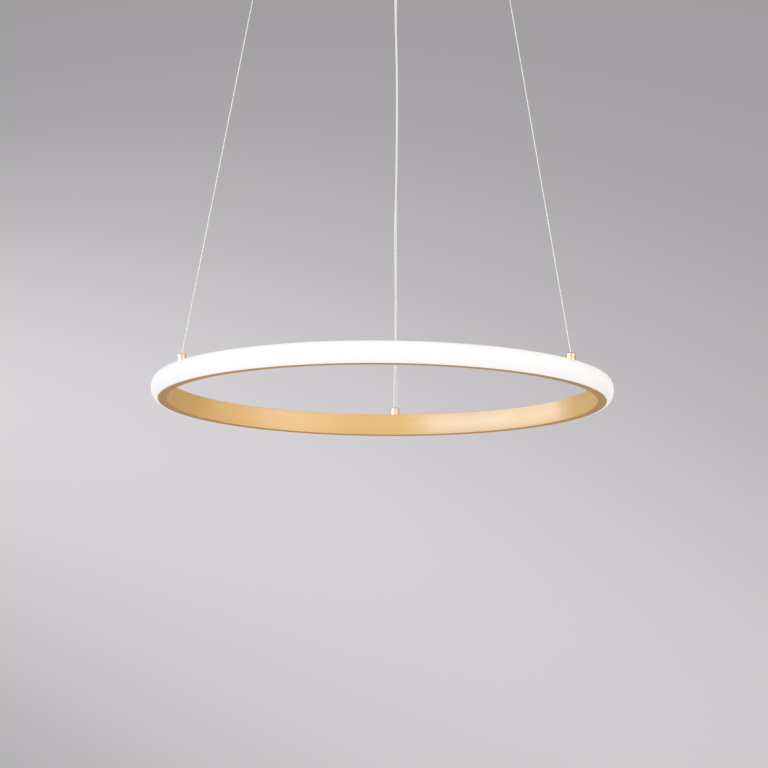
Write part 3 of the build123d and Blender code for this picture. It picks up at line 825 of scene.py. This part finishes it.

# %% [markdown]
# ## The channel's flat faces
#
# Only the channel's inner wall has the full pale sheen. Its upper and lower faces are less polished, so
# their coat is weaker, and their colour is a darker brown gold: painted shade for the downward face. A
# second material could do that, but one mask by height does both, on the upper and the lower face.

# %% Flat faces of the channel
# Darker brown gold for both flat faces: painted shade for the underside.
flat_painted_shade = (0.82, 0.51, 0.17, 1.0)
flat_coat = 0.5
half_channel = (ring_top - ring_low) / 2


def above_middle(tree):
    """Height over the middle of the ring: z - m."""
    place = put(tree, "SeparateXYZ", None, {0: put(tree, "TexCoord").outputs["Object"]})
    heights = {0: place.outputs["Z"], 1: ring_middle}
    return put(tree, "Math", {"operation": "SUBTRACT"}, heights).outputs[0]


tree = finishes["gold_channel"].node_tree
shader = tree.nodes["Principled BSDF"]
away = put(tree, "Math", {"operation": "ABSOLUTE"}, {0: above_middle(tree)}).outputs[0]
flat_face = put(tree, "MapRange", None, {
    "Value": away, "From Min": half_channel - edge, "From Max": half_channel - edge / 6,
}).outputs[0]
sheen = put(tree, "Math", {"operation": "MULTIPLY_ADD"}, {0: flat_face, 1: flat_coat - 1.0, 2: 1.0})
tree.links.new(sheen.outputs[0], shader.inputs["Coat Weight"])
brushed = shader.inputs["Base Color"].links[0].from_socket
# The flat faces get the painted shade colour.
painted_shade_mix = put(tree, "Mix", {"data_type": "RGBA"}, {"Factor": flat_face, 6: brushed, 7: flat_painted_shade})
tree.links.new(painted_shade_mix.outputs[2], shader.inputs["Base Color"])
print("flat faces from", round(half_channel - edge, 5), "to", round(half_channel, 5))

# %% [markdown]
# ## Opal
#
# The diffuser is milky plastic with light behind it. The LEDs could be lit for real behind a translucent
# shell, but that is slow and noisy, and from outside the shell simply glows. So it is a satin white
# plastic with its own light. The glow is even over the bulge. Towards its upper edge it is weaker, which
# is painted shade, and towards its lower one stronger, which is painted light from the pale floor.

# %% Opal finish
# Glow colours by height: painted light from the floor at the lower edge, painted shade at the upper one.
lower_glow_painted_floor_light = (1.30, 1.27, 1.28, 1.0)
upper_glow_painted_shade = (0.90, 0.885, 0.91, 1.0)
glow_bend = 3.0
opal, tree, shader = start_finish(
    "opal", Base_Color=(0.64, 0.61, 0.58), Roughness=0.32, Emission_Strength=0.38, Specular_IOR_Level=0.4
)
level = put(tree, "Math", {"operation": "DIVIDE"}, {0: above_middle(tree), 1: half_height}).outputs[0]
bend = put(tree, "Math", {"operation": "POWER"}, {0: level, 1: glow_bend}).outputs[0]
upper_share = put(tree, "MapRange", None, {"Value": bend, "From Min": -1.0, "From Max": 1.0}).outputs[0]
glow = put(tree, "Mix", {"data_type": "RGBA"}, {"Factor": upper_share, 6: lower_glow_painted_floor_light, 7: upper_glow_painted_shade})
tree.links.new(glow.outputs[2], shader.inputs["Emission Color"])
finishes["opal"] = opal
print("opal glow", shader.inputs["Emission Strength"].default_value)

# %% [markdown]
# ## Steel, plastic and the rest
#
# The wires are bright steel and the cable is white PVC. Inside the canopy there are zinc plated parts,
# white mouldings, a green board and soft rubber. Plain colours would look like toys, so metals get
# smudges and plastics get a fine moulded grain.

# %% Other finishes
cloud_times = 8
mould_marks = (120.0, 120.0, 120.0)
mould_swing = 0.06


def metal(name, colour, roughness, size=400.0, swing=0.08, tone=0.06, metallic=1.0):
    """Plated metal: smudges vary its roughness, and clouds eight times as large tint it."""
    material, tree, shader = start_finish(name, Metallic=metallic)
    place = put(tree, "TexCoord").outputs["Object"]
    broad = size / cloud_times
    clouds = use_effect(tree, smudges, place, (broad, broad, broad))
    tint = put(tree, "Mix", {"data_type": "RGBA"}, {
        "Factor": clouds, 6: toned(colour, 1 - 2 * tone), 7: toned(colour, 1 + 2 * tone),
    })
    tree.links.new(tint.outputs[2], shader.inputs["Base Color"])
    amount = use_effect(tree, smudges, place, (size, size, size))
    tree.links.new(varied(tree, amount, roughness, swing), shader.inputs["Roughness"])
    return material


def plastic(name, colour, roughness, size=2500.0, depth=0.00002):
    """Moulded plastic: a fine grain in the bump and smudges in the roughness."""
    material, tree, shader = start_finish(name, Base_Color=colour)
    place = put(tree, "TexCoord").outputs["Object"]
    amount = use_effect(tree, smudges, place, mould_marks)
    tree.links.new(varied(tree, amount, roughness, mould_swing), shader.inputs["Roughness"])
    bumped(tree, shader, use_effect(tree, grain, place, (size, size, size)), depth)
    return material


finishes.update({
    "strip_white": plastic("strip_white", (0.86, 0.86, 0.84), 0.5),
    "led_phosphor": plastic("led_phosphor", (0.90, 0.72, 0.25), 0.3),
    "zinc_steel": metal("zinc_steel", (0.68, 0.69, 0.70), 0.34, swing=0.14, tone=0.12),
    "bearing_steel": metal("bearing_steel", (0.72, 0.72, 0.74), 0.14),
    "wire_steel": metal("wire_steel", (0.98, 0.94, 0.90), 0.45, 900.0, tone=0.02, metallic=0.35),
    "cable_white": plastic("cable_white", (0.85, 0.835, 0.75), 0.30, 900.0, 0.00001),
    "boot_rubber": plastic("boot_rubber", (0.80, 0.80, 0.80), 0.55),
    "driver_white": plastic("driver_white", (0.80, 0.80, 0.79), 0.45),
    "board_green": plastic("board_green", (0.03, 0.16, 0.07), 0.4),
})
print("finishes:", len(finishes))

# %% [markdown]
# ## Finishes on the pieces
#
# Pieces made here get their finish by name. The other pieces are shown as the CAD model has them, and
# its record already names a slot for each, so one loop gives them theirs.

# %% Putting the finishes on
made_here = {
    "gold_channel": [channel],
    "gold_canopy": [canopy],
    "opal": [diffuser],
    "wire_steel": wires,
    "cable_white": [cable],
    "boot_rubber": [boot],
    "gold_brass": [thumb_screws],
    "bearing_steel": springs,
}
for slot, pieces in made_here.items():
    for piece in pieces:
        piece.data.materials.append(finishes[slot])
for part in frame["record"]["subparts"]:
    mesh = cad_nodes[part["node"]].data
    mesh.materials.clear()
    mesh.materials.append(finishes[part["material_slot"]])

# %% [markdown]
# ## The floor
#
# The lamp hangs in a plain studio with a pale floor well below it, which throws soft light back up. A
# solid floor would hide the lamp in a view from below, so the back of this one is clear.

# %% Floor
floor_z = -2.4
floor_half = 200.0
floor_corners = [
    (-floor_half, -floor_half, floor_z),
    (floor_half, -floor_half, floor_z),
    (floor_half, floor_half, floor_z),
    (-floor_half, floor_half, floor_z),
]
floor_mesh = bpy.data.meshes.new("pale_floor")
floor_mesh.from_pydata(floor_corners, [], [(0, 1, 2, 3)])
floor = bpy.data.objects.new("pale_floor", floor_mesh)
scene.collection.objects.link(floor)
floor_finish, tree, shader = start_finish("pale_floor", Base_Color=(0.77, 0.76, 0.77), Roughness=0.8)
see_through = put(tree, "MixShader", None, {
    0: put(tree, "NewGeometry").outputs["Backfacing"],
    1: shader.outputs[0],
    2: put(tree, "BsdfTransparent").outputs[0],
})
tree.links.new(see_through.outputs[0], tree.nodes["Material Output"].inputs["Surface"])
floor_mesh.materials.append(floor_finish)
print("floor at", floor_z)

# %% [markdown]
# ## The backdrop
#
# The backdrop is a soft grey glow that slants across the picture. It could be a painted wall, but a wall
# would stand in the way from behind, so the world itself carries it: its colour depends only on the
# direction, as e^(-s^2), where s is how far the direction is above or below the glow's middle, in widths
# of the glow, which fades sooner upwards than downwards. The middle, the widths and the strength change
# from left to right. The camera and shiny metal see this backdrop, and an even grey lights the rest.

# %% World
aside_reach = 0.09
middle_rise, middle_slant, middle_bend = 0.1329, -0.0404, -0.0115
lower_width, lower_widening = 0.1378, 0.0497
upper_width, upper_widening = 0.0846, 0.0282
glow_strength, glow_change = 0.2061, -0.0194
plain_grey = 0.6236
grey_power = 2.4
pink_share = 1.035
even_colour = (0.98, 0.98, 1.0, 1.0)
even_strength = 0.45
least = 0.0001

studio = bpy.data.worlds.new("studio")
studio.use_nodes = True
tree = studio.node_tree


def maths(operation, *values):
    """One arithmetic node in the world, with its values or other outputs."""
    return put(tree, "Math", {"operation": operation}, dict(enumerate(values))).outputs[0]


direction = put(tree, "SeparateXYZ", None, {0: put(tree, "TexCoord").outputs["Generated"]})
x, y, z = (direction.outputs[k] for k in range(3))
level = maths("SQRT", maths("ADD", maths("MULTIPLY", x, x), maths("MULTIPLY", y, y)))
level = maths("MAXIMUM", level, least)
rise = maths("DIVIDE", z, level)
aside = maths("DIVIDE", maths("DIVIDE", x, level), aside_reach)
aside = maths("MINIMUM", maths("MAXIMUM", aside, -1.0), 1.0)
slant = maths("MULTIPLY_ADD", aside, middle_bend, middle_slant)
off_middle = maths("SUBTRACT", rise, maths("MULTIPLY_ADD", slant, aside, middle_rise))
lower = maths("MULTIPLY_ADD", aside, lower_widening, lower_width)
upper = maths("MULTIPLY_ADD", aside, upper_widening, upper_width)
above = maths("GREATER_THAN", off_middle, 0.0)
width = maths("MULTIPLY_ADD", above, maths("SUBTRACT", upper, lower), lower)
away = maths("DIVIDE", off_middle, width)
glow = maths("EXPONENT", maths("MULTIPLY", maths("MULTIPLY", away, away), -1.0))
strength = maths("MULTIPLY_ADD", aside, glow_change, glow_strength)
grey = maths("POWER", maths("MULTIPLY_ADD", glow, strength, plain_grey), grey_power)
pinkish = maths("MULTIPLY", grey, pink_share)
tinted = put(tree, "CombineColor", None, {0: pinkish, 1: grey, 2: pinkish})
backdrop = put(tree, "Background", None, {"Color": tinted.outputs[0], "Strength": 1.0})
even_light = tree.nodes["Background"]
even_light.inputs["Color"].default_value = even_colour
even_light.inputs["Strength"].default_value = even_strength
path = put(tree, "LightPath")
seen = maths("MAXIMUM", path.outputs["Is Camera Ray"], path.outputs["Is Glossy Ray"])
seen = maths("MAXIMUM", seen, path.outputs["Is Transmission Ray"])
world_mix = put(tree, "MixShader", None, {0: seen, 1: even_light.outputs[0], 2: backdrop.outputs[0]})
tree.links.new(world_mix.outputs[0], tree.nodes["World Output"].inputs["Surface"])
scene.world = studio
print("world", studio.name)

# %% [markdown]
# ## Studio lights
#
# Satin metal shows the lights it faces as soft bands. The photograph has a strong pale band to the right
# of the middle of the gold and a weaker one to its left, with a plain warm gold between them. The bands
# could be painted, but then they would stay when the lamp turns. The inner wall mirrors what stands
# across from it, so two cool soft boxes at the left make the pale band. At the right a small box before
# a wide one makes the weaker band, which swells and fades slowly. A large warm box in front fills the
# middle, and one from above lights the canopy and the barrels.

# %% Soft boxes
white = (1.0, 1.0, 1.0)
cool = (0.74, 0.95, 1.28)
less_cool = (0.84, 0.93, 1.13)
rosy = (1.03, 0.94, 0.92)
warm = (1.03, 1.0, 0.94)


def soft_box(name, turn, rise, distance, size, brightness, tint):
    """Large lamp that faces the ring from a direction, as bright as a mirror would show it."""
    lamp = bpy.data.lights.new(name, "AREA")
    lamp.shape = "RECTANGLE"
    lamp.color = tint
    lamp.size, lamp.size_y = size
    lamp.energy = brightness * np.pi * size[0] * size[1]
    towards = np.array([
        np.sin(np.radians(turn)) * np.cos(np.radians(rise)),
        -np.cos(np.radians(turn)) * np.cos(np.radians(rise)),
        np.sin(np.radians(rise)),
    ])
    holder = bpy.data.objects.new(name, lamp)
    across = np.cross([0, 0, 1.0], towards)
    across /= np.linalg.norm(across)
    turn_to = Matrix((across, np.cross(towards, across), towards)).transposed()
    holder.matrix_world = Matrix.Translation(ring_underside + distance * towards) @ turn_to.to_4x4()
    holder.visible_camera = False
    scene.collection.objects.link(holder)
    print(name, "at", np.round(holder.location, 2))


# Each row: turn and rise in degrees, distance, width and height in metres, brightness, tint
soft_box("soft_box_left", -49.5, 10.0, 3.2, (3.0, 0.9), 3.45, cool)
soft_box("soft_box_far_left", -95.5, 10.0, 3.2, (2.65, 0.9), 2.8, less_cool)
soft_box("soft_box_right", 53.0, 10.0, 3.0, (2.3, 2.0), 0.87, white)
soft_box("soft_box_far_right", 67.0, 10.0, 3.2, (6.2, 2.0), 0.75, rosy)
soft_box("soft_box_front", -4.0, 16.0, 4.0, (5.0, 4.0), 0.69, warm)
soft_box("soft_box_above", 10.0, 70.0, 4.0, (2.4, 2.4), 0.7, white)
